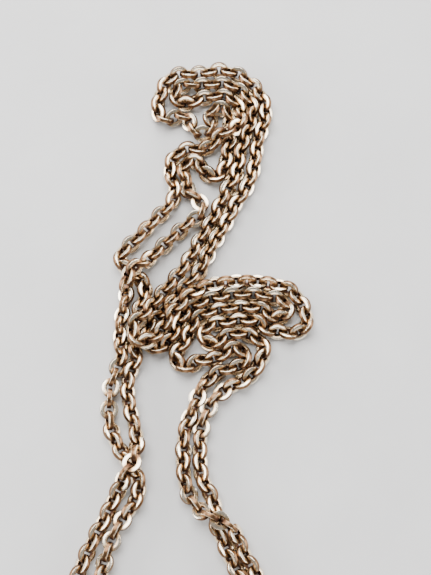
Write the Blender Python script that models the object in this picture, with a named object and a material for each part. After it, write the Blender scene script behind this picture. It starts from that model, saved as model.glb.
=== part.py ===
"""An eyeglasses chain: one long, fine oval cable chain that lies doubled and tangled on a table,
with a jump ring, a lobster clasp and a rubber temple loop at each of its two ends.

The loose links near each end are separate, hinged pieces. The tangle between them is plain tubes
along the chain's centre line. Lengths are in millimetres unless a name says otherwise, +Z is up
and the table is z = 0.
"""

import math

import bmesh
import bpy
import numpy as np
from mathutils import Euler, Matrix, Vector

MM = 0.001

# Chain. A link is an oval of flat wire. Neighbours sit at right angles, each rolled 45 degrees to
# its own side of flat.
PITCH = 2.0
WIRE = 0.7
LINK_LENGTH = 3.6
LINK_WIDTH = 3.1
LINKS_PER_END = 20
STRAND_HEIGHT = 2.3
CHAIN_Z = 1.4
TIP_Z = 1.7
UNTWIST_LINKS = 5
LIFT_LINKS = 8

# Tangle tubes, and how far apart two stretches of chain lie.
TUBES = 6
TUBE_RADIUS = 0.95
TUBE_GAP = 0.5
STRAND_SPACING = 2.5
TIGHTEST_BEND = 3.55
SETTLE_ROUNDS = 600

# Fittings, all centred at one height so that they lie flat on the table.
FITTING_Z = 1.75
RING_RADIUS, RING_HOLE = 1.65, 0.95
EYE_RADIUS, EYE_HOLE = 1.7, 1.0
CLASP_LENGTH, CLASP_WIDTH, CLASP_HEIGHT = 7.8, 6.0, 3.0
CLASP_WINDOW = 1.75
HOOK_HEIGHT = 0.9
PIN_RADIUS = 0.4
LEVER_LENGTH = 2.85
FERRULE_RADIUS, FERRULE_LENGTH = 1.65, 4.0
FERRULE_EYE, FERRULE_HOLE = 1.7, 1.2
CORD_RADIUS = 0.55
LEG_OFFSET = 0.75
LOOP_RADIUS, LOOP_LENGTH = 4.4, 20.9
BEAD_LENGTH, BEAD_WIDTH, BEAD_HEIGHT = 3.5, 4.6, 3.3

# Where each fitting's joint lies, measured outward from the chain's last joint.
CLASP_X = 1.7
LEVER_AT = (CLASP_X + 4.9, 1.75)
FERRULE_X = CLASP_X + 8.7
LOOP_X = CLASP_X + 15.2
BEAD_X = LOOP_X + 4.0

# The table's middle, which becomes the origin.
MIDDLE = (-0.12, 0.07)

# The chain's route over the table, from the tip of the left free end to the tip of the right one.
# Each point is x, y and how many strands it lies on. It is chosen by hand.
ROUTE = [
    (-27.5, -38, 0), (-24.5, -31.5, 0), (-21, -24.5, 0), (-18, -18.5, 0), (-16, -13.5, 0),
    (-14.5, -10.3, 0), (-13, -7.6, 0), (-12, -5.2, 0), (-10.8, -2.8, 0), (-9.6, -0.3, 0.4),
    (-8.2, 1.8, 1), (-7.4, 4.2, 0.5), (-7.6, 6.6, 0), (-8.7, 11, 0), (-9.3, 13.2, 0), (-9.5, 16, 0),
    (-9.3, 18.2, 0), (-8.5, 20.2, 0), (-7.8, 22.6, 0.4), (-8, 25.5, 0.2), (-7.6, 28.5, 0),
    (-6.7, 31, 0), (-6.1, 33.6, 0), (-7.2, 35.8, 0), (-9, 37.6, 0), (-11, 38.8, 0),
    (-11.6, 40.3, 0), (-10.7, 41.8, 0), (-9.3, 43.2, 0), (-6.4, 46.2, 0), (-5.2, 47.8, 0),
    (-3.5, 49.3, 0), (-2, 51, 0.2), (-1, 53, 0.4), (-0.8, 55.2, 0.4), (-1.1, 57.6, 0),
    (-1, 59.8, 0), (-0.1, 61.4, 0), (2, 62, 0), (3.8, 61.4, 0), (5.1, 61.8, 0), (5.7, 63.4, 0.2),
    (6.3, 64.8, 0.8), (8.4, 65, 1), (10.4, 65.6, 1), (11.6, 67.4, 0.8), (11.7, 69.8, 0.2),
    (10.7, 71.7, 0), (8.8, 72.7, 0), (6.4, 73, 0), (3.8, 73, 0), (1.6, 72.3, 0.4), (-0.6, 72.2, 1),
    (-1.6, 73.5, 1), (-1, 74.9, 1), (0.8, 75.4, 0.7), (3.4, 75.8, 0.2), (6.4, 76, 0),
    (9.2, 75.8, 0), (11.3, 74.6, 0), (12.9, 72.7, 0), (13.4, 70.2, 0), (12.9, 67.4, 0),
    (11, 62.2, 0), (10, 57, 0), (9, 54.6, 0), (7.8, 52.3, 0), (7.2, 50, 0), (6, 47.8, 0),
    (4.8, 45.4, 0), (2, 40.5, 0), (0.7, 38.6, 0), (-1.9, 35, 0.1), (-3.2, 33, 0.4), (-4.9, 31, 0.8),
    (-6.8, 29, 1), (-8.2, 27.2, 1), (-8.7, 25.4, 1), (-8, 23.9, 1.2), (-6.6, 23.8, 1.6),
    (-5, 25.2, 1.8), (-1, 30.2, 0.4), (1.2, 32.2, 0.1), (3.8, 33.6, 0), (10, 35, 0),
    (13.2, 35.4, 0), (16.4, 34.9, 0), (19, 33.7, 0), (21.3, 32.2, 0), (23.1, 30.6, 0),
    (23.9, 28.6, 0), (23.1, 26.8, 0), (21.3, 25.7, 0), (19.4, 26.4, 0), (17.8, 27.8, 0),
    (15.9, 28.9, 0), (13.4, 29, 0), (7.8, 28.2, 0), (5.6, 27.4, 0), (4.3, 25.9, 0), (4.3, 24.2, 0),
    (6, 24.5, 0), (8.4, 25.6, 0), (11.2, 26, 0), (13.6, 25.2, 0), (15.2, 24, 0), (15.5, 22.2, 0),
    (14.8, 20.6, 0), (13.1, 19.8, 0), (12.2, 18, 0), (10.9, 16.7, 0), (8.9, 15.8, 0),
    (7.2, 14.4, 0), (5.8, 12.8, 0), (4.4, 11.2, 0), (3.9, 9, 0), (3.7, 4.4, 0), (4, -0.4, 0),
    (5.2, -2.6, 0), (6.2, -4.8, 0), (6.4, -7.4, 0), (7, -9.8, 0), (8.1, -12, 0), (9.4, -14.2, 0),
    (11.3, -17.2, 0), (11.6, -20, 0), (9.5, -21.6, 0), (6, -22.5, 0), (1, -23.5, 0), (-4, -23.5, 0),
    (-8.5, -22.5, 0), (-12, -21.5, 0), (-13.6, -19.8, 0), (-13.4, -17.2, 0), (-11.7, -11.4, 0),
    (-10.6, -8.9, 0), (-9.1, -6.8, 0), (-7.8, -4.8, 0), (-7, -2.6, 0), (-7.3, -0.4, 0),
    (-8.8, 1.8, 0), (-10.2, 3.8, 0), (-11.5, 6, 0), (-12.5, 8.4, 0), (-12.8, 11, 0),
    (-12.5, 16.2, 0), (-11.9, 18.3, 0), (-10.9, 20.3, 0), (-10.5, 22.6, 0), (-11.1, 27.4, 0),
    (-10.6, 30, 0), (-10, 32.4, 0), (-10.2, 34.6, 0.3), (-10, 36.5, 0.8), (-8.9, 38, 1),
    (-7.1, 38.9, 0.6), (-5.6, 40.5, 0), (-2.2, 43.8, 0), (1, 46.8, 0), (2.8, 48.4, 0), (4, 50.2, 0),
    (3.9, 51.8, 0), (2.4, 52, 0), (1.2, 53, 0), (1.3, 55.2, 0), (1.5, 57.2, 0), (0.8, 59.2, 0),
    (1.6, 60.4, 0), (2.9, 59.4, 0), (3.5, 57.4, 0), (4.7, 56.4, 0), (6.2, 57, 0), (7.7, 58.4, 0),
    (9, 59.8, 0), (9.2, 61.8, 0), (9.5, 66, 0), (9.3, 68.6, 0), (8.3, 70.4, 0), (6.5, 71, 0),
    (5.3, 69.8, 0), (5.6, 67.8, 0), (4.9, 65.9, 0), (3.6, 65.6, 0), (2.8, 67.5, 0), (1.9, 69.6, 0),
    (0.3, 69, 0), (-1.3, 67.8, 0), (-3.3, 68.7, 0), (-4.7, 70.8, 0), (-4.4, 73, 0), (-3.7, 75.2, 0),
    (-2.4, 77, 0), (-0.1, 77.4, 0), (2.6, 77.6, 0), (5.2, 78.5, 0), (7.4, 79, 0), (10, 78.4, 0),
    (12.3, 77.2, 0), (14, 75, 0), (15.6, 73, 0), (16.1, 70.6, 0), (15.4, 67.6, 0), (14.4, 62, 0),
    (14, 59, 0), (13.3, 56.4, 0), (12, 53.8, 0), (10.4, 51.2, 0), (7.4, 46.2, 0.3),
    (5.9, 43.6, 0.9), (4.7, 41, 0.9), (3.6, 38.4, 0.1), (0.8, 34, 0), (-1.6, 32, 0),
    (-5.4, 27.2, 0), (-6, 25, 0), (-5.4, 23.3, 0), (-4, 22.5, 0), (-2.5, 23.6, 0), (-1.2, 26, 0),
    (1.9, 30.6, 0), (4.2, 32.2, 0), (7.2, 33, 0), (13.8, 33, 0), (17, 32.2, 0), (19.4, 30.8, 0),
    (20.3, 29.2, 0), (18.8, 29.2, 0), (16, 30.6, 0), (13.2, 31.1, 0), (7, 30.6, 0), (4.6, 29.6, 0),
    (2.8, 27.8, 0), (1.4, 25.4, 0), (0, 23.4, 0), (-1.4, 21.5, 0), (-0.5, 20, 0), (1.4, 20.5, 0),
    (3, 21.4, 0), (5, 20.7, 0), (7, 21.8, 0), (9.2, 23.3, 0), (11.6, 23.1, 0), (11.6, 21.1, 0),
    (10, 20, 0), (7.9, 19.4, 0), (6, 18, 0), (4.3, 16.3, 0), (3.3, 14, 0), (3, 11.7, 0),
    (1.7, 9.6, 0), (0.8, 7.6, 0), (0.7, 2.6, 0), (0.8, 0, 0), (1.2, -2.2, 0), (2.1, -4.4, 0.1),
    (3.8, -6.4, 0.6), (6, -7.5, 1), (8.2, -8.5, 0.8), (10.1, -10.1, 0.3), (10.9, -12.4, 0),
    (12, -14.6, 0), (14, -17.8, 0), (16.2, -21.8, 0), (18.6, -26.5, 0), (21, -31.5, 0),
    (24, -38, 0), (27.5, -45.5, 0),
]

ANTIQUE_GOLD = dict(color=(0.60, 0.40, 0.20), metallic=1.0, roughness=0.32)
DARK_BRASS = dict(color=(0.34, 0.21, 0.11), metallic=1.0, roughness=0.42)
RUBBER = dict(color=(0.10, 0.09, 0.085), metallic=0.0, roughness=0.55)


def clear_scene():
    for obj in list(bpy.data.objects):
        bpy.data.objects.remove(obj, do_unlink=True)


def new_collection(name, hidden=False):
    collection = bpy.data.collections.new(name)
    collection.hide_render = hidden
    bpy.context.scene.collection.children.link(collection)
    return collection


def new_material(name, color, metallic, roughness):
    material = bpy.data.materials.new(name)
    material.use_nodes = True
    shader = material.node_tree.nodes["Principled BSDF"]
    shader.inputs["Base Color"].default_value = (*color, 1.0)
    shader.inputs["Metallic"].default_value = metallic
    shader.inputs["Roughness"].default_value = roughness
    material.diffuse_color = (*color, 1.0)
    return material


# --- The chain's centre line -------------------------------------------------------------------


def smooth_line(points, step):
    """Points a step apart along a smooth curve through the given ones."""
    ends = np.vstack([2 * points[0] - points[1], points, 2 * points[-1] - points[-2]])
    t = np.linspace(0, 1, 16, endpoint=False)[:, None]
    pieces = []
    for a, b, c, d in zip(ends, ends[1:], ends[2:], ends[3:]):
        cubic = (3 * b - a - 3 * c + d) * t + (2 * a - 5 * b + 4 * c - d)
        pieces.append(0.5 * (2 * b + (c - a) * t + cubic * t * t))
    line = np.vstack([*pieces, points[-1:]])
    along = np.concatenate([[0], np.cumsum(np.linalg.norm(np.diff(line, axis=0), axis=1))])
    stops = step * np.arange(2 * int(along[-1] / step / 2) + 1)
    return np.stack([np.interp(stops, along, line[:, axis]) for axis in range(3)], axis=1)


def hold_spacing(points, free, span, low, high):
    """Brings points `span` places apart to a distance between low and high."""
    for start in range(2 * span):
        a = np.arange(start, len(points) - span, 2 * span)
        b = a + span
        apart = points[b] - points[a]
        length = np.linalg.norm(apart, axis=1)
        share = np.maximum(free[a] + free[b], 1)
        pull = apart * ((length - np.clip(length, low, high)) / length / share)[:, None]
        points[a] += pull * free[a][:, None]
        points[b] -= pull * free[b][:, None]


def push_apart(points, free, pairs):
    """Moves two stretches of chain that are too close away from each other."""
    a, b = pairs
    apart = points[b] - points[a]
    length = np.linalg.norm(apart, axis=1)
    close = (length < STRAND_SPACING) & (free[a] + free[b] > 0)
    a, b, apart, length = a[close], b[close], apart[close], length[close]
    push = 0.75 * apart * ((STRAND_SPACING - length) / length / (free[a] + free[b]))[:, None]
    moves = np.zeros_like(points)
    count = np.zeros(len(points))
    np.add.at(moves, a, -push * free[a][:, None])
    np.add.at(moves, b, push * free[b][:, None])
    np.add.at(count, a, 1)
    np.add.at(count, b, 1)
    points += moves / np.maximum(count, 1)[:, None]


def settle(line, fixed):
    """The line after the chain has sunk onto the table and onto itself; its ends stay put."""
    points = line.copy()
    step = PITCH / 2
    free = np.ones(len(points))
    free[:fixed] = free[-fixed:] = 0
    every_pair = np.triu_indices(len(points), 6)
    for turn in range(SETTLE_ROUNDS):
        if turn % 20 == 0:
            apart = np.linalg.norm(points[every_pair[0]] - points[every_pair[1]], axis=1)
            pairs = [side[apart < STRAND_SPACING + 2] for side in every_pair]
        points[:, 2] -= 0.01 * free
        points[:, :2] += 0.02 * (line - points)[:, :2] * free[:, None]
        for _ in range(3):
            hold_spacing(points, free, 1, step, step)
            hold_spacing(points, free, 4, TIGHTEST_BEND * step, 4 * step)
        push_apart(points, free, pairs)
        points[:, 2] = np.maximum(points[:, 2], CHAIN_Z)
        points[free == 0] = line[free == 0]
    return points


def chain_line():
    """The chain's centre line, two points for each link: first its joint, then its middle."""
    route = np.array(ROUTE, float)
    route[:, 2] = CHAIN_Z + STRAND_HEIGHT * route[:, 2]
    route[:, :2] -= MIDDLE
    line = smooth_line(route, PITCH / 2)
    from_tip = np.minimum(np.arange(len(line)), np.arange(len(line))[::-1])
    lift = np.clip(1 - from_tip / (2 * LIFT_LINKS), 0, 1) * (TIP_Z - CHAIN_Z)
    line[:, 2] = np.maximum(line[:, 2], CHAIN_Z) + lift
    return settle(line, fixed=2 * LINKS_PER_END + 2)


# --- Basic shapes, all in millimetres from the piece's own origin -------------------------------


def place(obj, collection, material, parent=None, at=(0, 0, 0), turn=(0, 0, 0)):
    collection.objects.link(obj)
    obj.parent = parent
    obj.location = Vector(at) * MM
    obj.rotation_euler = Euler(turn)
    if material:
        obj.data.materials.append(material)
    return obj


def arc(centre, radius, start, end, steps):
    """Points on an arc, its angles in degrees."""
    angles = [math.radians(start + (end - start) * i / steps) for i in range(steps + 1)]
    return [(centre[0] + radius * math.cos(a), centre[1] + radius * math.sin(a)) for a in angles]


def circle(centre, radius, steps=24):
    return arc(centre, radius, 0, 360, steps)[:-1]


def plate(name, outlines, thickness):
    """A flat plate: the first outline is its edge and the others are its holes."""
    curve = bpy.data.curves.new(name, "CURVE")
    curve.dimensions = "2D"
    curve.fill_mode = "BOTH"
    curve.extrude = thickness / 2 * MM
    for outline in outlines:
        spline = curve.splines.new("POLY")
        spline.points.add(len(outline) - 1)
        for point, (x, y) in zip(spline.points, outline):
            point.co = (x * MM, y * MM, 0, 1)
        spline.use_cyclic_u = True
    return bpy.data.objects.new(name, curve)


def tube(name, points, radius, kind="POLY"):
    """A round cord with closed ends through the points."""
    curve = bpy.data.curves.new(name, "CURVE")
    curve.dimensions = "3D"
    curve.bevel_depth = radius * MM
    curve.bevel_resolution = 2
    curve.use_fill_caps = True
    curve.resolution_u = 3
    spline = curve.splines.new(kind)
    knots = spline.bezier_points if kind == "BEZIER" else spline.points
    knots.add(len(points) - 1)
    for knot, point in zip(knots, points):
        if kind == "BEZIER":
            knot.co = Vector(point) * MM
            knot.handle_left_type = knot.handle_right_type = "AUTO"
        else:
            knot.co = (*(Vector(point) * MM), 1)
    return bpy.data.objects.new(name, curve)


def mesh_object(name, make, matrix):
    mesh = bpy.data.meshes.new(name)
    shape = bmesh.new()
    make(shape)
    bmesh.ops.transform(shape, matrix=Matrix.Scale(MM, 4) @ matrix, verts=shape.verts)
    shape.to_mesh(mesh)
    shape.free()
    return bpy.data.objects.new(name, mesh)


def cylinder(name, radius, length, at, turn=(0, 0, 0), widen=1.0, sides=24):
    """A cylinder along its own z, made oval across y by `widen`."""
    matrix = Matrix.Translation(at) @ Matrix.Diagonal((1, widen, 1, 1)) @ Euler(turn).to_matrix().to_4x4()

    def make(shape):
        bmesh.ops.create_cone(
            shape, cap_ends=True, segments=sides, radius1=radius, radius2=radius, depth=length
        )

    return mesh_object(name, make, matrix)


def box(name, low, high):
    low, high = Vector(low), Vector(high)
    matrix = Matrix.Translation((low + high) / 2) @ Matrix.Diagonal((*(high - low), 1))
    return mesh_object(name, lambda shape: bmesh.ops.create_cube(shape, size=1), matrix)


def combine(piece, tool, operation, cutters):
    """Joins the tool to the piece, or cuts it out; both are drawn from the same origin."""
    cutters.objects.link(tool)
    tool.parent, tool.location = piece.parent, piece.location
    tool.display_type = "WIRE"
    tool.hide_render = True
    boolean = piece.modifiers.new(tool.name, "BOOLEAN")
    boolean.object = tool
    boolean.operation = operation
    boolean.solver = "EXACT"


ALONG_X = (0, math.pi / 2, 0)
UPRIGHT = (math.pi / 2, 0, 0)


# --- Chain pieces -------------------------------------------------------------------------------


def link_outline(length, width):
    """A long oval, from one link's joint: straight sides with a half circle at each end."""
    radius = width / 2
    reach = length / 2 - radius
    middle = PITCH / 2
    return arc((middle + reach, 0), radius, -90, 90, 8) + arc((middle - reach, 0), radius, 90, 270, 8)


def link_roll(from_tip):
    """How far a link is turned about the chain: the last few links untwist to meet the ring."""
    lean = 45 * min(from_tip / UNTWIST_LINKS, 1)
    return math.radians(lean + 90 * (from_tip % 2))


def free_end(side, line, shape, collection, material):
    """The loose links of one end. The line runs from the chain's tip inward."""
    for number in range(1, LINKS_PER_END + 1):
        from_tip = LINKS_PER_END - number
        inner, outer = Vector(line[2 * from_tip + 2]), Vector(line[2 * from_tip])
        link = bpy.data.objects.new(f"{side}_link_{number:02d}", shape)
        place(link, collection, None, at=inner)
        heading = (outer - inner).to_track_quat("X", "Z").to_matrix()
        roll = Matrix.Rotation(link_roll(from_tip), 3, "X")
        link.rotation_euler = (heading @ roll).to_euler()
        if not shape.materials:
            shape.materials.append(material)


def tangle(line, collection, material):
    """The chain between the free ends, as plain tubes with a small gap from one to the next."""
    joints = line[2 * LINKS_PER_END : len(line) - 2 * LINKS_PER_END : 2].copy()
    overhang = (LINK_LENGTH - PITCH) / 2 + TUBE_GAP
    for end, inner in ((0, 1), (-1, -2)):
        inward = joints[inner] - joints[end]
        joints[end] += inward * overhang / np.linalg.norm(inward)
    cuts = np.linspace(0, len(joints) - 1, TUBES + 1).round().astype(int)
    for number, (first, last) in enumerate(zip(cuts, cuts[1:]), start=1):
        points = joints[first : last + 1].copy()
        if number > 1:
            points[0] += (points[1] - points[0]) * TUBE_GAP / PITCH
        if number < TUBES:
            points[-1] += (points[-2] - points[-1]) * TUBE_GAP / PITCH
        place(tube(f"chain_run_{number}", points, TUBE_RADIUS), collection, material)


# --- Fittings, each drawn from its own joint, pointing away from the chain ----------------------


def end_ring(side, parent, collection, material):
    middle = (RING_RADIUS - (LINK_LENGTH - PITCH) / 2, 0)
    outlines = [circle(middle, RING_RADIUS), circle(middle, RING_HOLE)]
    ring = plate(f"{side}_end_ring", outlines, WIRE)
    place(ring, collection, material, parent, (0, 0, FITTING_Z), UPRIGHT)


def clasp_body(side, parent, collection, cutters, material):
    """A flat lobster claw with an eye at its tail. It rests on the table on its flat tail."""
    middle = 2.3 + CLASP_LENGTH / 2
    window = (middle + 0.9, -0.1)
    wide = CLASP_WIDTH / CLASP_LENGTH
    half = CLASP_HEIGHT / 2
    name = f"{side}_clasp_body"
    body = cylinder(name, CLASP_LENGTH / 2, CLASP_HEIGHT, (middle, 0, half), widen=wide, sides=40)
    place(body, collection, material, parent, (CLASP_X, 0, 0))
    eye_low, eye_high = FITTING_Z - WIRE / 2, FITTING_Z + WIRE / 2
    hook_low, hook_high = FITTING_Z - HOOK_HEIGHT / 2, FITTING_Z + HOOK_HEIGHT / 2
    gap = 0.15
    pivot_x, pivot_y = LEVER_AT[0] - CLASP_X, LEVER_AT[1]
    joined = [
        cylinder(f"{name}_eye", EYE_RADIUS, WIRE, (0.9, 0, FITTING_Z)),
        box(f"{name}_neck", (2.2, -0.8, eye_low), (3.2, 0.8, eye_high)),
    ]
    removed = [
        cylinder(f"{name}_eye_hole", EYE_HOLE, 2, (0.9, 0, FITTING_Z)),
        cylinder(f"{name}_window", CLASP_WINDOW, 8, (*window, 0)),
        box(f"{name}_gate", (pivot_x + 0.5, 0, -1), (middle + 2.2, 4, 5)),
        box(f"{name}_above_hook", (middle + 1.2, -4, hook_high), (11, 4, 5)),
        box(f"{name}_below_hook", (middle + 1.2, -4, -1), (11, 4, hook_low)),
        box(f"{name}_slot", (pivot_x - 0.9, 0.9, hook_low - gap), (pivot_x + 1, 4, hook_high + gap)),
        cylinder(f"{name}_pin_hole", PIN_RADIUS + 0.06, 8, (pivot_x, pivot_y, 0)),
    ]
    for tool in joined:
        combine(body, tool, "UNION", cutters)
    for tool in removed:
        combine(body, tool, "DIFFERENCE", cutters)


def clasp_pin(side, parent, collection, material):
    length = CLASP_HEIGHT - 0.2
    pin = cylinder(f"{side}_clasp_pin", PIN_RADIUS, length, (0, 0, 0.1 + length / 2))
    place(pin, collection, material, parent, (*LEVER_AT, 0))


def clasp_lever(side, parent, collection, material):
    """The sprung gate: a hub on the pin, a bar that ends at the hook, and a thumb tab."""
    hub = arc((0, 0), 0.7, 80, 280, 10)
    tip = arc((LEVER_LENGTH, 0.25), 0.45, -80, 90, 8)
    tab = arc((1.9, 0.75), 0.5, 10, 180, 8)
    lever = plate(f"{side}_clasp_lever", [hub + tip + tab, circle((0, 0), PIN_RADIUS + 0.1)], HOOK_HEIGHT)
    place(lever, collection, material, parent, (*LEVER_AT, FITTING_Z))


def ferrule(side, parent, collection, cutters, material):
    """A crimped barrel that holds both legs of the loop, with an upright eye on the claw."""
    start = 2.5
    name = f"{side}_ferrule"
    barrel = cylinder(name, FERRULE_RADIUS, FERRULE_LENGTH, (start + FERRULE_LENGTH / 2, 0, 0), ALONG_X)
    place(barrel, collection, material, parent, (FERRULE_X, 0, FITTING_Z))
    eye_x = FERRULE_HOLE - 0.1
    combine(barrel, cylinder(f"{name}_eye", FERRULE_EYE, 0.6, (eye_x, 0, 0), UPRIGHT), "UNION", cutters)
    hole = cylinder(f"{name}_eye_hole", FERRULE_HOLE, 2, (eye_x, 0, 0), UPRIGHT)
    combine(barrel, hole, "DIFFERENCE", cutters)
    for leg, y in (("upper", LEG_OFFSET), ("lower", -LEG_OFFSET)):
        at = (start + FERRULE_LENGTH - 0.1, y, 0)
        socket = cylinder(f"{name}_{leg}_socket", CORD_RADIUS + 0.08, 4.2, at, ALONG_X, sides=16)
        combine(barrel, socket, "DIFFERENCE", cutters)


def temple_loop(side, parent, collection, material):
    """A rubber cord bent double: two straight legs that open into a round loop."""
    legs = [(-1.9, LEG_OFFSET), (0, LEG_OFFSET), (4, LEG_OFFSET), (8, LEG_OFFSET), (10.4, 1.3)]
    bow = [LOOP_LENGTH - LOOP_RADIUS, 0]
    half = legs + arc(bow, LOOP_RADIUS, 130, 0, 5)
    whole = half + [(x, -y) for x, y in reversed(half[:-1])]
    cord = tube(f"{side}_temple_loop", [(x, y, 0) for x, y in whole], CORD_RADIUS, "BEZIER")
    place(cord, collection, material, parent, (LOOP_X, 0, FITTING_Z))


def slide_bead(side, parent, collection, cutters, material):
    """An oval bead with one wide slot, which slides along both legs of the loop."""
    name = f"{side}_slide_bead"
    wide = BEAD_WIDTH / BEAD_HEIGHT
    bead = cylinder(name, BEAD_HEIGHT / 2, BEAD_LENGTH, (0, 0, 0), ALONG_X, widen=wide)
    place(bead, collection, material, parent, (BEAD_X, 0, FITTING_Z))
    slot_y, slot_z = LEG_OFFSET + CORD_RADIUS + 0.15, CORD_RADIUS + 0.15
    slot = box(f"{name}_slot", (-4, -slot_y, -slot_z), (4, slot_y, slot_z))
    combine(bead, slot, "DIFFERENCE", cutters)


def fittings(side, line, collection, cutters, gold, brass, rubber):
    """Everything past the chain's last joint. The line runs from the chain's tip inward."""
    outward = line[0] - line[2]
    end = bpy.data.objects.new(f"{side}_end", None)
    collection.objects.link(end)
    end.location = (line[0][0] * MM, line[0][1] * MM, 0)
    end.rotation_euler.z = math.atan2(outward[1], outward[0])
    end_ring(side, end, collection, gold)
    clasp_body(side, end, collection, cutters, gold)
    clasp_pin(side, end, collection, brass)
    clasp_lever(side, end, collection, gold)
    ferrule(side, end, collection, cutters, gold)
    temple_loop(side, end, collection, rubber)
    slide_bead(side, end, collection, cutters, brass)


def main():
    clear_scene()
    chain = new_collection("eyeglasses_chain")
    cutters = new_collection("cutters", hidden=True)
    gold = new_material("antique_gold", **ANTIQUE_GOLD)
    brass = new_material("dark_brass", **DARK_BRASS)
    rubber = new_material("rubber", **RUBBER)
    line = chain_line()
    tangle(line, chain, gold)
    inner_width = LINK_WIDTH - 2 * WIRE
    outlines = [link_outline(LINK_LENGTH, LINK_WIDTH), link_outline(LINK_LENGTH - 2 * WIRE, inner_width)]
    link = plate("link", outlines, WIRE).data
    for side, from_tip in (("left", line), ("right", line[::-1])):
        free_end(side, from_tip, link, chain, gold)
        fittings(side, from_tip, chain, cutters, gold, brass, rubber)


main()
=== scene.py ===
"""The looks of an eyeglasses chain that lies doubled and tangled on a table.

Every link is modelled. The tangle's links are joined, one mesh to each CAD tube, and each loose
link near an end rides on its own CAD body. Lengths are in millimetres unless a name says
otherwise.
"""

import math

import bpy
import numpy as np
from mathutils import Matrix, Vector

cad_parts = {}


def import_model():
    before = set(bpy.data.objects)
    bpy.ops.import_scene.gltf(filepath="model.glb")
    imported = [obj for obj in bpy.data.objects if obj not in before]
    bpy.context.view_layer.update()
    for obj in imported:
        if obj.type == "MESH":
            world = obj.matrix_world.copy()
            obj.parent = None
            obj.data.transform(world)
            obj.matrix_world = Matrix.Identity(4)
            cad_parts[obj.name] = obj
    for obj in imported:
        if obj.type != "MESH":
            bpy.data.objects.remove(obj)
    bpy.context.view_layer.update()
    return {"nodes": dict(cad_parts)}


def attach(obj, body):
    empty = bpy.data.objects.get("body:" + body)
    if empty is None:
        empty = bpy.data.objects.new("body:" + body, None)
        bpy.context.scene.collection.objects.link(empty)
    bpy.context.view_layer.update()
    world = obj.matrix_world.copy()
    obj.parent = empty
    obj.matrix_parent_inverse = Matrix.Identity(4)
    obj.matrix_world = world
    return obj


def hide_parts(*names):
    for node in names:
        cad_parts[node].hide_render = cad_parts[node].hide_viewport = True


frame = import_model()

MM = 0.001

# The chain, as in the CAD.
PITCH = 2.0
LINKS_PER_END = 20
STRAND_HEIGHT = 2.3
CHAIN_Z = 1.4
TIP_Z = 1.7
UNTWIST_LINKS = 5
LIFT_LINKS = 8
TUBES = 6
STRAND_SPACING = 2.5
TIGHTEST_BEND = 3.55
SETTLE_ROUNDS = 600
MIDDLE = (-0.12, 0.07)

# A link's wire: how far its centre line reaches, and the wire's width and thickness.
LINK_REACH, LINK_SPREAD = 1.42, 1.24
WIRE_WIDTH, WIRE_THICKNESS, WIRE_CORNER = 0.82, 0.80, 0.11
ROUND_LINK, ROUND_CORNER = 32, 3
LAST_LINK_SIZE = 0.97

# The fittings, as in the CAD, measured outward from the chain's tip.
FITTING_Z = 1.75
RING_X, RING_RADIUS, RING_WIRE = 0.85, 1.3, 0.30
LEVER_AT = (6.6, 1.75)
FERRULE_X = 10.4
LOOP_X = 16.9
CORD_RADIUS, LEG_OFFSET = 0.55, 0.75

# The rubber loop, from the loop's middle: its bow, and where it begins to fall and for how long.
BOW_X, BOW_RADIUS = 16.5, 4.4
FALL_X, FALL_LENGTH = 8, 12.9

# How round things are, and how finely a cast piece is remeshed before it is softened.
ROUND_TURNED, ROUND_RING = 48, 64
SKIN_VOXEL, SOFTEN_ROUNDS = 0.1, 16

# The camera, whose focal length is a multiple of the picture's height. Its elevation is in degrees.
CAMERA_TARGET = (6.62, 34.93, 0)
CAMERA_DISTANCE, CAMERA_ELEVATION, FOCAL_LENGTH = 206.6, 75, 44 / 23
SENSOR_LONG_SIDE = 24

# The light, in metres and watts: (name, place, width and depth, power), and the sky's strength.
SOFTBOXES = [
    ("overhead", (-0.1, 0.3, 0.5), (0.6, 0.4), 7),
    ("left", (-0.5, 0.1, 0.16), (0.5, 0.18), 4),
    ("right", (0.5, 0.1, 0.16), (0.5, 0.18), 3),
    ("back", (0.0, 0.65, 0.16), (0.5, 0.18), 4),
    ("front", (0.0, -0.5, 0.2), (0.4, 0.15), 1),
]
SKY_STRENGTH = 0.3
TABLE_HALF_METRES = 6.0

# Links that lie flat on the table or on the strand below, in millimetres.
LYING_FLAT = [
    (-12.5, 16),
    (-8.1, 1.7),
    (-11.5, -11.3),
    (4.3, -7),
    (5.2, 50.8),
    (10.9, -11),
    (6.1, 12.1),
    (2.9, 14.7),
]

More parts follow.
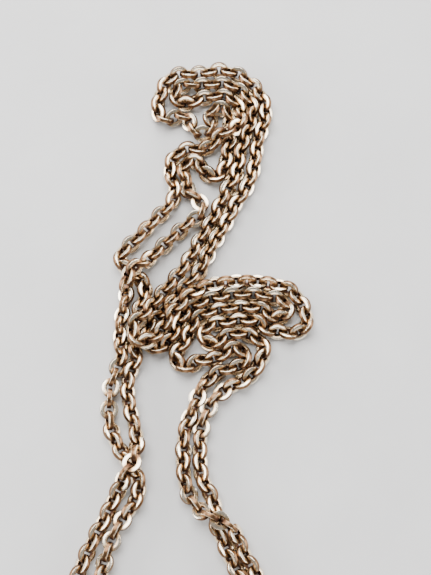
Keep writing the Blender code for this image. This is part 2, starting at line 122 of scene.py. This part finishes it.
# The chain's route over the table, from the tip of the left free end to the tip of the right one.
# Each point is x, y and how many strands it lies on.
ROUTE = [
    (-27.5, -38, 0), (-24.5, -31.5, 0), (-21, -24.5, 0), (-18, -18.5, 0), (-16, -13.5, 0),
    (-14.5, -10.3, 0), (-13, -7.6, 0), (-12, -5.2, 0), (-10.8, -2.8, 0), (-9.6, -0.3, 0.4),
    (-8.2, 1.8, 1), (-7.4, 4.2, 0.5), (-7.6, 6.6, 0), (-8.7, 11, 0), (-9.3, 13.2, 0), (-9.5, 16, 0),
    (-9.3, 18.2, 0), (-8.5, 20.2, 0), (-7.8, 22.6, 0.4), (-8, 25.5, 0.2), (-7.6, 28.5, 0),
    (-6.7, 31, 0), (-6.1, 33.6, 0), (-7.2, 35.8, 0), (-9, 37.6, 0), (-11, 38.8, 0),
    (-11.6, 40.3, 0), (-10.7, 41.8, 0), (-9.3, 43.2, 0), (-6.4, 46.2, 0), (-5.2, 47.8, 0),
    (-3.5, 49.3, 0), (-2, 51, 0.2), (-1, 53, 0.4), (-0.8, 55.2, 0.4), (-1.1, 57.6, 0),
    (-1, 59.8, 0), (-0.1, 61.4, 0), (2, 62, 0), (3.8, 61.4, 0), (5.1, 61.8, 0), (5.7, 63.4, 0.2),
    (6.3, 64.8, 0.8), (8.4, 65, 1), (10.4, 65.6, 1), (11.6, 67.4, 0.8), (11.7, 69.8, 0.2),
    (10.7, 71.7, 0), (8.8, 72.7, 0), (6.4, 73, 0), (3.8, 73, 0), (1.6, 72.3, 0.4), (-0.6, 72.2, 1),
    (-1.6, 73.5, 1), (-1, 74.9, 1), (0.8, 75.4, 0.7), (3.4, 75.8, 0.2), (6.4, 76, 0),
    (9.2, 75.8, 0), (11.3, 74.6, 0), (12.9, 72.7, 0), (13.4, 70.2, 0), (12.9, 67.4, 0),
    (11, 62.2, 0), (10, 57, 0), (9, 54.6, 0), (7.8, 52.3, 0), (7.2, 50, 0), (6, 47.8, 0),
    (4.8, 45.4, 0), (2, 40.5, 0), (0.7, 38.6, 0), (-1.9, 35, 0.1), (-3.2, 33, 0.4), (-4.9, 31, 0.8),
    (-6.8, 29, 1), (-8.2, 27.2, 1), (-8.7, 25.4, 1), (-8, 23.9, 1.2), (-6.6, 23.8, 1.6),
    (-5, 25.2, 1.8), (-1, 30.2, 0.4), (1.2, 32.2, 0.1), (3.8, 33.6, 0), (10, 35, 0),
    (13.2, 35.4, 0), (16.4, 34.9, 0), (19, 33.7, 0), (21.3, 32.2, 0), (23.1, 30.6, 0),
    (23.9, 28.6, 0), (23.1, 26.8, 0), (21.3, 25.7, 0), (19.4, 26.4, 0), (17.8, 27.8, 0),
    (15.9, 28.9, 0), (13.4, 29, 0), (7.8, 28.2, 0), (5.6, 27.4, 0), (4.3, 25.9, 0), (4.3, 24.2, 0),
    (6, 24.5, 0), (8.4, 25.6, 0), (11.2, 26, 0), (13.6, 25.2, 0), (15.2, 24, 0), (15.5, 22.2, 0),
    (14.8, 20.6, 0), (13.1, 19.8, 0), (12.2, 18, 0), (10.9, 16.7, 0), (8.9, 15.8, 0),
    (7.2, 14.4, 0), (5.8, 12.8, 0), (4.4, 11.2, 0), (3.9, 9, 0), (3.7, 4.4, 0), (4, -0.4, 0),
    (5.2, -2.6, 0), (6.2, -4.8, 0), (6.4, -7.4, 0), (7, -9.8, 0), (8.1, -12, 0), (9.4, -14.2, 0),
    (11.3, -17.2, 0), (11.6, -20, 0), (9.5, -21.6, 0), (6, -22.5, 0), (1, -23.5, 0), (-4, -23.5, 0),
    (-8.5, -22.5, 0), (-12, -21.5, 0), (-13.6, -19.8, 0), (-13.4, -17.2, 0), (-11.7, -11.4, 0),
    (-10.6, -8.9, 0), (-9.1, -6.8, 0), (-7.8, -4.8, 0), (-7, -2.6, 0), (-7.3, -0.4, 0),
    (-8.8, 1.8, 0), (-10.2, 3.8, 0), (-11.5, 6, 0), (-12.5, 8.4, 0), (-12.8, 11, 0),
    (-12.5, 16.2, 0), (-11.9, 18.3, 0), (-10.9, 20.3, 0), (-10.5, 22.6, 0), (-11.1, 27.4, 0),
    (-10.6, 30, 0), (-10, 32.4, 0), (-10.2, 34.6, 0.3), (-10, 36.5, 0.8), (-8.9, 38, 1),
    (-7.1, 38.9, 0.6), (-5.6, 40.5, 0), (-2.2, 43.8, 0), (1, 46.8, 0), (2.8, 48.4, 0), (4, 50.2, 0),
    (3.9, 51.8, 0), (2.4, 52, 0), (1.2, 53, 0), (1.3, 55.2, 0), (1.5, 57.2, 0), (0.8, 59.2, 0),
    (1.6, 60.4, 0), (2.9, 59.4, 0), (3.5, 57.4, 0), (4.7, 56.4, 0), (6.2, 57, 0), (7.7, 58.4, 0),
    (9, 59.8, 0), (9.2, 61.8, 0), (9.5, 66, 0), (9.3, 68.6, 0), (8.3, 70.4, 0), (6.5, 71, 0),
    (5.3, 69.8, 0), (5.6, 67.8, 0), (4.9, 65.9, 0), (3.6, 65.6, 0), (2.8, 67.5, 0), (1.9, 69.6, 0),
    (0.3, 69, 0), (-1.3, 67.8, 0), (-3.3, 68.7, 0), (-4.7, 70.8, 0), (-4.4, 73, 0), (-3.7, 75.2, 0),
    (-2.4, 77, 0), (-0.1, 77.4, 0), (2.6, 77.6, 0), (5.2, 78.5, 0), (7.4, 79, 0), (10, 78.4, 0),
    (12.3, 77.2, 0), (14, 75, 0), (15.6, 73, 0), (16.1, 70.6, 0), (15.4, 67.6, 0), (14.4, 62, 0),
    (14, 59, 0), (13.3, 56.4, 0), (12, 53.8, 0), (10.4, 51.2, 0), (7.4, 46.2, 0.3),
    (5.9, 43.6, 0.9), (4.7, 41, 0.9), (3.6, 38.4, 0.1), (0.8, 34, 0), (-1.6, 32, 0),
    (-5.4, 27.2, 0), (-6, 25, 0), (-5.4, 23.3, 0), (-4, 22.5, 0), (-2.5, 23.6, 0), (-1.2, 26, 0),
    (1.9, 30.6, 0), (4.2, 32.2, 0), (7.2, 33, 0), (13.8, 33, 0), (17, 32.2, 0), (19.4, 30.8, 0),
    (20.3, 29.2, 0), (18.8, 29.2, 0), (16, 30.6, 0), (13.2, 31.1, 0), (7, 30.6, 0), (4.6, 29.6, 0),
    (2.8, 27.8, 0), (1.4, 25.4, 0), (0, 23.4, 0), (-1.4, 21.5, 0), (-0.5, 20, 0), (1.4, 20.5, 0),
    (3, 21.4, 0), (5, 20.7, 0), (7, 21.8, 0), (9.2, 23.3, 0), (11.6, 23.1, 0), (11.6, 21.1, 0),
    (10, 20, 0), (7.9, 19.4, 0), (6, 18, 0), (4.3, 16.3, 0), (3.3, 14, 0), (3, 11.7, 0),
    (1.7, 9.6, 0), (0.8, 7.6, 0), (0.7, 2.6, 0), (0.8, 0, 0), (1.2, -2.2, 0), (2.1, -4.4, 0.1),
    (3.8, -6.4, 0.6), (6, -7.5, 1), (8.2, -8.5, 0.8), (10.1, -10.1, 0.3), (10.9, -12.4, 0),
    (12, -14.6, 0), (14, -17.8, 0), (16.2, -21.8, 0), (18.6, -26.5, 0), (21, -31.5, 0),
    (24, -38, 0), (27.5, -45.5, 0),
]


# --- The chain's centre line -------------------------------------------------------------------


def smooth_line(points, step):
    """Points a step apart along a smooth curve through the given ones."""
    ends = np.vstack([2 * points[0] - points[1], points, 2 * points[-1] - points[-2]])
    t = np.linspace(0, 1, 16, endpoint=False)[:, None]
    pieces = []
    for a, b, c, d in zip(ends, ends[1:], ends[2:], ends[3:]):
        cubic = (3 * b - a - 3 * c + d) * t + (2 * a - 5 * b + 4 * c - d)
        pieces.append(0.5 * (2 * b + (c - a) * t + cubic * t * t))
    line = np.vstack([*pieces, points[-1:]])
    along = np.concatenate([[0], np.cumsum(np.linalg.norm(np.diff(line, axis=0), axis=1))])
    stops = step * np.arange(2 * int(along[-1] / step / 2) + 1)
    return np.stack([np.interp(stops, along, line[:, axis]) for axis in range(3)], axis=1)


def hold_spacing(points, free, span, low, high):
    """Brings points `span` places apart to a distance between low and high."""
    for start in range(2 * span):
        a = np.arange(start, len(points) - span, 2 * span)
        b = a + span
        apart = points[b] - points[a]
        length = np.linalg.norm(apart, axis=1)
        share = np.maximum(free[a] + free[b], 1)
        pull = apart * ((length - np.clip(length, low, high)) / length / share)[:, None]
        points[a] += pull * free[a][:, None]
        points[b] -= pull * free[b][:, None]


def push_apart(points, free, pairs):
    """Moves two stretches of chain that are too close away from each other."""
    a, b = pairs
    apart = points[b] - points[a]
    length = np.linalg.norm(apart, axis=1)
    close = (length < STRAND_SPACING) & (free[a] + free[b] > 0)
    a, b, apart, length = a[close], b[close], apart[close], length[close]
    push = 0.75 * apart * ((STRAND_SPACING - length) / length / (free[a] + free[b]))[:, None]
    moves = np.zeros_like(points)
    count = np.zeros(len(points))
    np.add.at(moves, a, -push * free[a][:, None])
    np.add.at(moves, b, push * free[b][:, None])
    np.add.at(count, a, 1)
    np.add.at(count, b, 1)
    points += moves / np.maximum(count, 1)[:, None]


def settle(line, fixed):
    """The line after the chain has sunk onto the table and onto itself; its ends stay put."""
    points = line.copy()
    step = PITCH / 2
    free = np.ones(len(points))
    free[:fixed] = free[-fixed:] = 0
    every_pair = np.triu_indices(len(points), 6)
    for turn in range(SETTLE_ROUNDS):
        if turn % 20 == 0:
            apart = np.linalg.norm(points[every_pair[0]] - points[every_pair[1]], axis=1)
            pairs = [side[apart < STRAND_SPACING + 2] for side in every_pair]
        points[:, 2] -= 0.01 * free
        points[:, :2] += 0.02 * (line - points)[:, :2] * free[:, None]
        for _ in range(3):
            hold_spacing(points, free, 1, step, step)
            hold_spacing(points, free, 4, TIGHTEST_BEND * step, 4 * step)
        push_apart(points, free, pairs)
        points[:, 2] = np.maximum(points[:, 2], CHAIN_Z)
        points[free == 0] = line[free == 0]
    return points


def chain_line():
    """The chain's centre line, two points for each link: first its joint, then its middle."""
    route = np.array(ROUTE, float)
    route[:, 2] = CHAIN_Z + STRAND_HEIGHT * route[:, 2]
    route[:, :2] -= MIDDLE
    line = smooth_line(route, PITCH / 2)
    from_tip = np.minimum(np.arange(len(line)), np.arange(len(line))[::-1])
    lift = np.clip(1 - from_tip / (2 * LIFT_LINKS), 0, 1) * (TIP_Z - CHAIN_Z)
    line[:, 2] = np.maximum(line[:, 2], CHAIN_Z) + lift
    return settle(line, fixed=2 * LINKS_PER_END + 2)


# --- Camera, light and table --------------------------------------------------------------------


def camera():
    """The camera looks down at the chain from the south."""
    data = bpy.data.cameras.new("camera")
    data.sensor_width = SENSOR_LONG_SIDE
    data.lens = FOCAL_LENGTH * SENSOR_LONG_SIDE
    data.clip_start, data.clip_end = 0.01, 10
    obj = bpy.data.objects.new("camera", data)
    bpy.context.scene.collection.objects.link(obj)
    up = math.radians(CAMERA_ELEVATION)
    away = Vector((0, -math.cos(up), math.sin(up)))
    obj.location = Vector(CAMERA_TARGET) * MM + away * CAMERA_DISTANCE * MM
    obj.rotation_euler = (-away).to_track_quat("-Z", "Y").to_euler()
    bpy.context.scene.camera = obj


def softbox(name, at, size, power):
    """A white area light that faces the middle of the table."""
    data = bpy.data.lights.new(name, "AREA")
    data.shape = "RECTANGLE"
    data.size, data.size_y = size
    data.energy = power
    obj = bpy.data.objects.new(name, data)
    bpy.context.scene.collection.objects.link(obj)
    obj.location = at
    obj.rotation_euler = (-Vector(at)).to_track_quat("-Z", "Y").to_euler()


def world(strength):
    sky = bpy.data.worlds.new("studio")
    sky.use_nodes = True
    shade = sky.node_tree.nodes["Background"]
    shade.inputs["Color"].default_value = (1, 1, 1, 1)
    shade.inputs["Strength"].default_value = strength
    bpy.context.scene.world = sky


def table(material):
    mesh = bpy.data.meshes.new("table")
    half = TABLE_HALF_METRES
    corners = [(-half, -half, 0), (half, -half, 0), (half, half, 0), (-half, half, 0)]
    mesh.from_pydata(corners, [], [(0, 1, 2, 3)])
    mesh.materials.append(material)
    obj = bpy.data.objects.new("table", mesh)
    bpy.context.scene.collection.objects.link(obj)


# --- Materials ----------------------------------------------------------------------------------


class Nodes:
    """A short way to build one material's nodes."""

    def __init__(self, name):
        self.material = bpy.data.materials.new(name)
        self.material.use_nodes = True
        self.tree = self.material.node_tree
        self.shader = self.tree.nodes["Principled BSDF"]
        self.place = self.add("ShaderNodeTexCoord").outputs["Object"]

    def add(self, kind, **settings):
        node = self.tree.nodes.new(kind)
        for key, value in settings.items():
            setattr(node, key, value)
        return node

    def join(self, source, target):
        self.tree.links.new(source, target)

    def noise(self, scale, detail, roughness=0.55):
        node = self.add("ShaderNodeTexNoise")
        self.join(self.place, node.inputs["Vector"])
        node.inputs["Scale"].default_value = scale
        node.inputs["Detail"].default_value = detail
        node.inputs["Roughness"].default_value = roughness
        return node.outputs["Fac"]

    def ramp(self, source, *stops):
        node = self.add("ShaderNodeValToRGB")
        self.join(source, node.inputs["Fac"])
        while len(node.color_ramp.elements) < len(stops):
            node.color_ramp.elements.new(0.5)
        for element, (position, color) in zip(node.color_ramp.elements, stops):
            element.position = position
            element.color = (*color, 1) if isinstance(color, tuple) else (color, color, color, 1)
        return node.outputs["Color"]

    def mix(self, factor, first, second, blend="MIX"):
        node = self.add("ShaderNodeMix", data_type="RGBA", blend_type=blend)
        for socket, value in ((0, factor), (6, first), (7, second)):
            if isinstance(value, (int, float)):
                node.inputs[socket].default_value = value
            elif isinstance(value, tuple):
                node.inputs[socket].default_value = (*value, 1)
            else:
                self.join(value, node.inputs[socket])
        return node.outputs[2]

    def bump(self, height, strength, distance):
        node = self.add("ShaderNodeBump")
        self.join(height, node.inputs["Height"])
        node.inputs["Strength"].default_value = strength
        node.inputs["Distance"].default_value = distance
        self.join(node.outputs["Normal"], self.shader.inputs["Normal"])

    def set(self, **values):
        for key, value in values.items():
            self.shader.inputs[key.replace("_", " ").title()].default_value = value


def antique_gold():
    """Near-white flats that are partly a painted highlight, gold sides darkened to brown as painted shade,
    and dark brown in the recesses that is partly patina and partly painted shade.
    """
    n = Nodes("antique_gold")
    n.set(metallic=1.0)
    worn_and_shaded = n.add("ShaderNodeAttribute", attribute_name="worn_and_shaded").outputs["Fac"]
    # The colours follow the wear value, which also carries painted light. The inner colour is patina
    # deepened by painted shade, the side colour is darkened as painted shade, and the face colour is near
    # white as a painted highlight.
    inner_patina_and_shade, side = (0.08, 0.038, 0.026), (0.23, 0.13, 0.068)
    edge, face = (0.74, 0.53, 0.30), (1.0, 0.91, 0.75)
    gold = n.ramp(worn_and_shaded, (0.0, inner_patina_and_shade), (0.32, side), (0.6, edge), (0.84, face))
    patches = n.ramp(n.noise(700, 5, 0.6), (0.36, (0.58, 0.46, 0.36)), (0.62, (1.0, 0.97, 0.92)))
    n.join(n.mix(0.45, gold, patches, "MULTIPLY"), n.shader.inputs["Base Color"])
    rough = n.ramp(worn_and_shaded, (0.0, 0.5), (0.5, 0.28), (1.0, 0.13))
    smears = n.ramp(n.noise(2600, 3), (0.3, 0.1), (0.7, 0.5))
    n.join(n.mix(0.3, rough, smears), n.shader.inputs["Roughness"])
    n.bump(n.noise(5200, 4, 0.6), 0.1, 0.00003)
    return n.material


def pale_table():
    n = Nodes("pale_table")
    grey = n.ramp(n.noise(60, 6), (0.3, (0.66, 0.655, 0.65)), (0.7, (0.70, 0.695, 0.69)))
    n.join(grey, n.shader.inputs["Base Color"])
    n.set(roughness=0.8)
    return n.material


def plain_metal(name, light, dark, rough):
    """A cast fitting's metal: slightly mottled, with fine polishing marks."""
    n = Nodes(name)
    n.set(metallic=1.0)
    color = n.ramp(n.noise(500, 6, 0.6), (0.35, dark), (0.65, light))
    n.join(color, n.shader.inputs["Base Color"])
    n.join(n.ramp(n.noise(1800, 4), (0.3, rough - 0.07), (0.7, rough + 0.12)), n.shader.inputs["Roughness"])
    n.bump(n.noise(4200, 3), 0.1, 0.00004)
    return n.material


def rubber():
    n = Nodes("rubber")
    black = n.ramp(n.noise(700, 4), (0.3, (0.012, 0.011, 0.011)), (0.7, (0.022, 0.021, 0.020)))
    n.join(black, n.shader.inputs["Base Color"])
    n.join(n.ramp(n.noise(2500, 3), (0.3, 0.42), (0.7, 0.6)), n.shader.inputs["Roughness"])
    n.bump(n.noise(6000, 3), 0.2, 0.00003)
    return n.material


# --- Meshes -------------------------------------------------------------------------------------


def grid(rings, around, closed):
    """Four-sided faces between rings of points, with flat caps unless the rings close on themselves."""
    faces = []
    for ring in range(rings if closed else rings - 1):
        after = (ring + 1) % rings
        for i in range(around):
            j = (i + 1) % around
            faces.append((ring * around + i, after * around + i, after * around + j, ring * around + j))
    if not closed:
        faces.append(tuple(range(around)))
        faces.append(tuple(rings * around - 1 - i for i in range(around)))
    return faces


def swept(path, radius, up, sides=20):
    """The points and faces of a round tube along an open path, which stays about square to `up`."""
    path = np.asarray(path, float)
    along = np.gradient(path, axis=0)
    along /= np.linalg.norm(along, axis=1)[:, None]
    side = np.cross(up, along)
    side /= np.linalg.norm(side, axis=1)[:, None]
    over = np.cross(along, side)
    turn = np.linspace(0, 2 * math.pi, sides, endpoint=False)[None, :, None]
    ring = np.cos(turn) * side[:, None] + np.sin(turn) * over[:, None]
    points = path[:, None] + radius * ring
    return points.reshape(-1, 3), grid(len(path), sides, closed=False)


def turned(profile, middle, axis):
    """The points and faces of a solid of revolution: (distance along the axis, radius) pairs."""
    along = np.array(axis, float)
    side = np.array([0.0, 1.0, 0.0])
    over = np.cross(along, side)
    points = []
    for place, radius in profile:
        for turn in np.linspace(0, 2 * math.pi, ROUND_TURNED, endpoint=False):
            outward = np.cos(turn) * side + np.sin(turn) * over
            points.append(middle + along * place + radius * outward)
    return np.array(points), grid(len(profile), ROUND_TURNED, closed=False)


def ring_path(middle, radius, start, end):
    """An arc in an upright plane along x, between two angles in degrees."""
    turn = np.radians(np.linspace(start, end, ROUND_RING))
    return [(middle[0] + radius * math.cos(a), 0, middle[1] + radius * math.sin(a)) for a in turn]


def piece(name, at, shapes, material):
    """One mesh of these shapes, whose points are in millimetres in the frame `at`."""
    points, faces = [], []
    for shape_points, shape_faces in shapes:
        faces += [tuple(i + len(points) for i in face) for face in shape_faces]
        points += [(at @ Vector(point)) * MM for point in shape_points]
    mesh = bpy.data.meshes.new(name)
    mesh.from_pydata(points, [], faces)
    mesh.polygons.foreach_set("use_smooth", [len(face) == 4 for face in faces])
    mesh.materials.append(material)
    obj = bpy.data.objects.new(name, mesh)
    bpy.context.scene.collection.objects.link(obj)
    return obj


# --- Links --------------------------------------------------------------------------------------


def wire_section():
    """(across, along the link's axis, wear with painted highlight and painted shade) round the wire: a
    rectangle with round corners.
    """
    rows = []
    corners = [(1, 1), (-1, 1), (-1, -1), (1, -1)]
    for turn, (side, face) in enumerate(corners):
        middle = (side * (WIRE_WIDTH / 2 - WIRE_CORNER), face * (WIRE_THICKNESS / 2 - WIRE_CORNER))
        for step in range(ROUND_CORNER + 1):
            angle = math.radians(90 * (turn + step / ROUND_CORNER))
            across = middle[0] + WIRE_CORNER * math.cos(angle)
            up = middle[1] + WIRE_CORNER * math.sin(angle)
            # Painted light: this wear value is highest on the flat faces, as a painted highlight. It falls
            # on the walls, lowest on the inner wall, as painted shade. It also stands for wear.
            if side > 0:
                wear_and_shade = 0.3 + 0.7 * abs(math.sin(angle)) ** 0.7
            else:
                wear_and_shade = 0.62 * abs(math.sin(angle))
            rows.append((across, up, wear_and_shade))
    return rows


def link_shape():
    """The points, faces and wear, with painted shade and highlight, of one oval link, centred, with its
    long side along x.
    """
    section = wire_section()
    points, worn_and_shaded = [], []
    for step in range(ROUND_LINK):
        angle = 2 * math.pi * step / ROUND_LINK
        middle = np.array([LINK_REACH * math.cos(angle), LINK_SPREAD * math.sin(angle), 0])
        out = np.array([LINK_SPREAD * math.cos(angle), LINK_REACH * math.sin(angle), 0])
        out /= np.linalg.norm(out)
        # Painted shade: the wear value is cut towards the link's ends, where the neighbouring links
        # interlock and shade it. The straight sides keep it.
        exposed_and_lit = 0.2 + 0.8 * min(max((abs(middle[1]) - 0.45) / 0.6, 0), 1)
        for across, up, wear_and_shade in section:
            points.append(middle + out * across + np.array([0, 0, up]))
            worn_and_shaded.append(wear_and_shade * exposed_and_lit)
    return np.array(points), np.array(grid(ROUND_LINK, len(section), closed=True)), np.array(worn_and_shaded)


def lie_flat(line):
    """How far each link is turned towards flat, from 0 to 45 degrees, near the ones that lie flat."""
    middles = line[1::2]
    extra = np.zeros(len(middles))
    for x, y in LYING_FLAT:
        away = np.hypot(middles[:, 0] - x, middles[:, 1] - y)
        nearest = int(np.argmin(away - 0.5 * middles[:, 2]))
        away = np.abs(np.arange(len(middles)) - nearest)
        twist = 45 * np.clip(1 - away / 4, 0, 1)
        extra += -twist if nearest % 2 else twist
    return extra


def link_frames(line):
    """Where each link's middle is and how it is turned, from the left tip to the right one."""
    rng = np.random.default_rng(4)
    count = len(line) // 2
    sway = np.convolve(rng.normal(0, 1, count + 8), np.ones(9) / 3, "valid")[:count] * 7
    extra = lie_flat(line) + sway
    frames = []
    for number in range(count):
        start, end = Vector(line[2 * number]), Vector(line[2 * number + 2])
        from_tip = min(number, count - 1 - number)
        loose = from_tip < LINKS_PER_END
        lean = 45 * min(from_tip / UNTWIST_LINKS, 1)
        roll = lean + 90 * (from_tip % 2)
        if number < count / 2:
            roll = -roll
        if not loose:
            roll += extra[number]
        roll += rng.normal(0, 2.5)
        heading = (end - start).to_track_quat("X", "Z").to_matrix()
        facing = heading @ Matrix.Rotation(math.radians(roll), 3, "X")
        middle = (start + end) / 2
        tall = LINK_SPREAD + WIRE_WIDTH / 2
        height = tall * abs(facing[2][1]) + WIRE_THICKNESS / 2 * abs(facing[2][2])
        middle.z = max(middle.z, height + 0.02)
        frames.append((np.array(middle), np.array(facing)))
    return frames


def link_mesh(name, frames, material, size=1.0):
    """One mesh of the links at these places."""
    shape, quads, wear_and_shade = link_shape()
    shape = shape * size
    points = np.vstack([middle + shape @ facing.T for middle, facing in frames]) * MM
    faces = np.vstack([quads + len(shape) * i for i in range(len(frames))])
    mesh = bpy.data.meshes.new(name)
    mesh.from_pydata(points.tolist(), [], faces.tolist())
    mesh.polygons.foreach_set("use_smooth", [True] * len(faces))
    # This attribute carries wear together with a painted highlight on the faces and painted shade on the
    # walls and link ends.
    worn_and_shaded = mesh.attributes.new("worn_and_shaded", "FLOAT", "POINT")
    worn_and_shaded.data.foreach_set("value", np.tile(wear_and_shade, len(frames)))
    mesh.materials.append(material)
    obj = bpy.data.objects.new(name, mesh)
    bpy.context.scene.collection.objects.link(obj)
    return obj


def tangle(frames, material):
    """The links between the free ends, one mesh to each CAD tube."""
    last = len(frames) - LINKS_PER_END
    cuts = np.linspace(LINKS_PER_END, last, TUBES + 1).round().astype(int)
    for number, (start, end) in enumerate(zip(cuts, cuts[1:]), start=1):
        run = link_mesh(f"chain_{number}", frames[start:end], material)
        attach(run, "tangle")
        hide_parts(f"chain_run_{number}")


def free_ends(frames, material):
    for side, outward in (("left", frames), ("right", frames[::-1])):
        for number in range(1, LINKS_PER_END + 1):
            node = f"{side}_link_{number:02d}"
            size = LAST_LINK_SIZE if number == LINKS_PER_END else 1
            link = link_mesh(f"{node}_oval", [outward[LINKS_PER_END - number]], material, size)
            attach(link, node)
            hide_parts(node)


# --- Fittings, each in the frame of its own end, with x pointing away from the chain ------------


def end_frame(line):
    """The chain's tip, on the table, facing outward. The line runs from that tip inward."""
    outward = line[0] - line[2]
    turn = Matrix.Rotation(math.atan2(outward[1], outward[0]), 4, "Z")
    return Matrix.Translation((line[0][0], line[0][1], 0)) @ turn


def replace_node(obj, body, node):
    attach(obj, body)
    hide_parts(node)


def jump_ring(side, at, gold):
    """A ring of round wire, with the cut where it was closed."""
    path = ring_path((RING_X, FITTING_Z), RING_RADIUS, 57, 413)
    ring = piece(f"{side}_jump_ring", at, [swept(path, RING_WIRE, (0, 1, 0))], gold)
    replace_node(ring, f"{side}_end_ring", f"{side}_end_ring")


def clasp_rivet(side, at, brass):
    """The lever's pin, with a low domed head on top."""
    shank, head = 0.40, 0.52
    dome = [(2.98, head), (3.04, head), (3.11, 0.38), (3.14, 0.12)]
    profile = [(0.06, shank), (2.96, shank), *dome]
    shape = turned(profile, (*LEVER_AT, 0), (0, 0, 1))
    rivet = piece(f"{side}_rivet", at, [shape], brass)
    replace_node(rivet, f"{side}_clasp", f"{side}_clasp_pin")


def crimped_ferrule(side, at, gold):
    """A turned barrel with two crimps and a lip round its mouth, and a wire eye on the claw."""
    start, end = FERRULE_X + 2.5, FERRULE_X + 6.5
    wide, crimp, mouth = 1.62, 1.40, 1.30
    eye_middle, eye_radius, eye_wire = (FERRULE_X + 1.1, FITTING_Z), 1.44, 0.25
    profile = [(start, 0.9), (start + 0.06, 1.2), (start + 0.25, 1.5), (start + 0.5, wide)]
    for middle in (start + 1.25, start + 2.75):
        profile += [(middle - 0.3, wide), (middle - 0.15, crimp)]
        profile += [(middle + 0.15, crimp), (middle + 0.3, wide)]
    profile += [(end - 0.15, wide), (end, wide - 0.12), (end, mouth), (end - 0.3, mouth - 0.04)]
    barrel = turned(profile, (0, 0, FITTING_Z), (1, 0, 0))
    eye = swept(ring_path(eye_middle, eye_radius, 0, 360), eye_wire, (0, 1, 0))
    ferrule = piece(f"{side}_crimp", at, [barrel, eye], gold)
    replace_node(ferrule, f"{side}_loop", f"{side}_ferrule")


def rubber_loop(side, at, dark_rubber):
    """The cord bent double. Past the bead its own weight brings it down to the table."""
    legs = [(-1.9, LEG_OFFSET), (0, LEG_OFFSET), (4, LEG_OFFSET), (8, LEG_OFFSET), (10.4, 1.3)]
    turns = np.radians([130, 97, 65, 32, 0])
    bow = [(BOW_X + BOW_RADIUS * math.cos(a), BOW_RADIUS * math.sin(a)) for a in turns]
    half = legs + bow
    lowest = CORD_RADIUS + 0.05
    whole = half + [(x, -y) for x, y in reversed(half[:-1])]
    path = []
    for x, y, _ in smooth_line(np.array([(x, y, 0.0) for x, y in whole]), 0.35):
        fall = min(max((x - FALL_X) / FALL_LENGTH, 0), 1)
        drop = (FITTING_Z - lowest) * fall * fall * (3 - 2 * fall)
        path.append((LOOP_X + x, y, FITTING_Z - drop))
    loop = piece(f"{side}_rubber_loop", at, [swept(path, CORD_RADIUS, (0, 0, 1), 16)], dark_rubber)
    replace_node(loop, f"{side}_loop", f"{side}_temple_loop")


def cast_piece(node, material):
    """A cast CAD piece that keeps its own mesh, with soft edges and a better material."""
    obj = frame["nodes"][node]
    obj.data.materials.clear()
    obj.data.materials.append(material)
    skin = obj.modifiers.new("skin", "REMESH")
    skin.mode = "VOXEL"
    skin.voxel_size = SKIN_VOXEL * MM
    skin.use_smooth_shade = True
    soften = obj.modifiers.new("soften", "SMOOTH")
    soften.factor = 0.5
    soften.iterations = SOFTEN_ROUNDS


def fittings(side, line, gold, brass, dark_rubber):
    at = end_frame(line)
    jump_ring(side, at, gold)
    clasp_rivet(side, at, brass)
    crimped_ferrule(side, at, gold)
    rubber_loop(side, at, dark_rubber)
    cast_piece(f"{side}_clasp_body", gold)
    cast_piece(f"{side}_clasp_lever", gold)
    cast_piece(f"{side}_slide_bead", brass)


def main():
    camera()
    world(SKY_STRENGTH)
    for name, at, size, power in SOFTBOXES:
        softbox(name, at, size, power)
    table(pale_table())
    line = chain_line()
    frames = link_frames(line)
    links = antique_gold()
    tangle(frames, links)
    free_ends(frames, links)
    cast_gold = plain_metal("cast_gold", (0.70, 0.48, 0.26), (0.36, 0.21, 0.10), 0.24)
    dark_brass = plain_metal("dark_brass", (0.34, 0.21, 0.11), (0.16, 0.09, 0.045), 0.34)
    dark_rubber = rubber()
    fittings("left", line, cast_gold, dark_brass, dark_rubber)
    fittings("right", line[::-1], cast_gold, dark_brass, dark_rubber)


main()
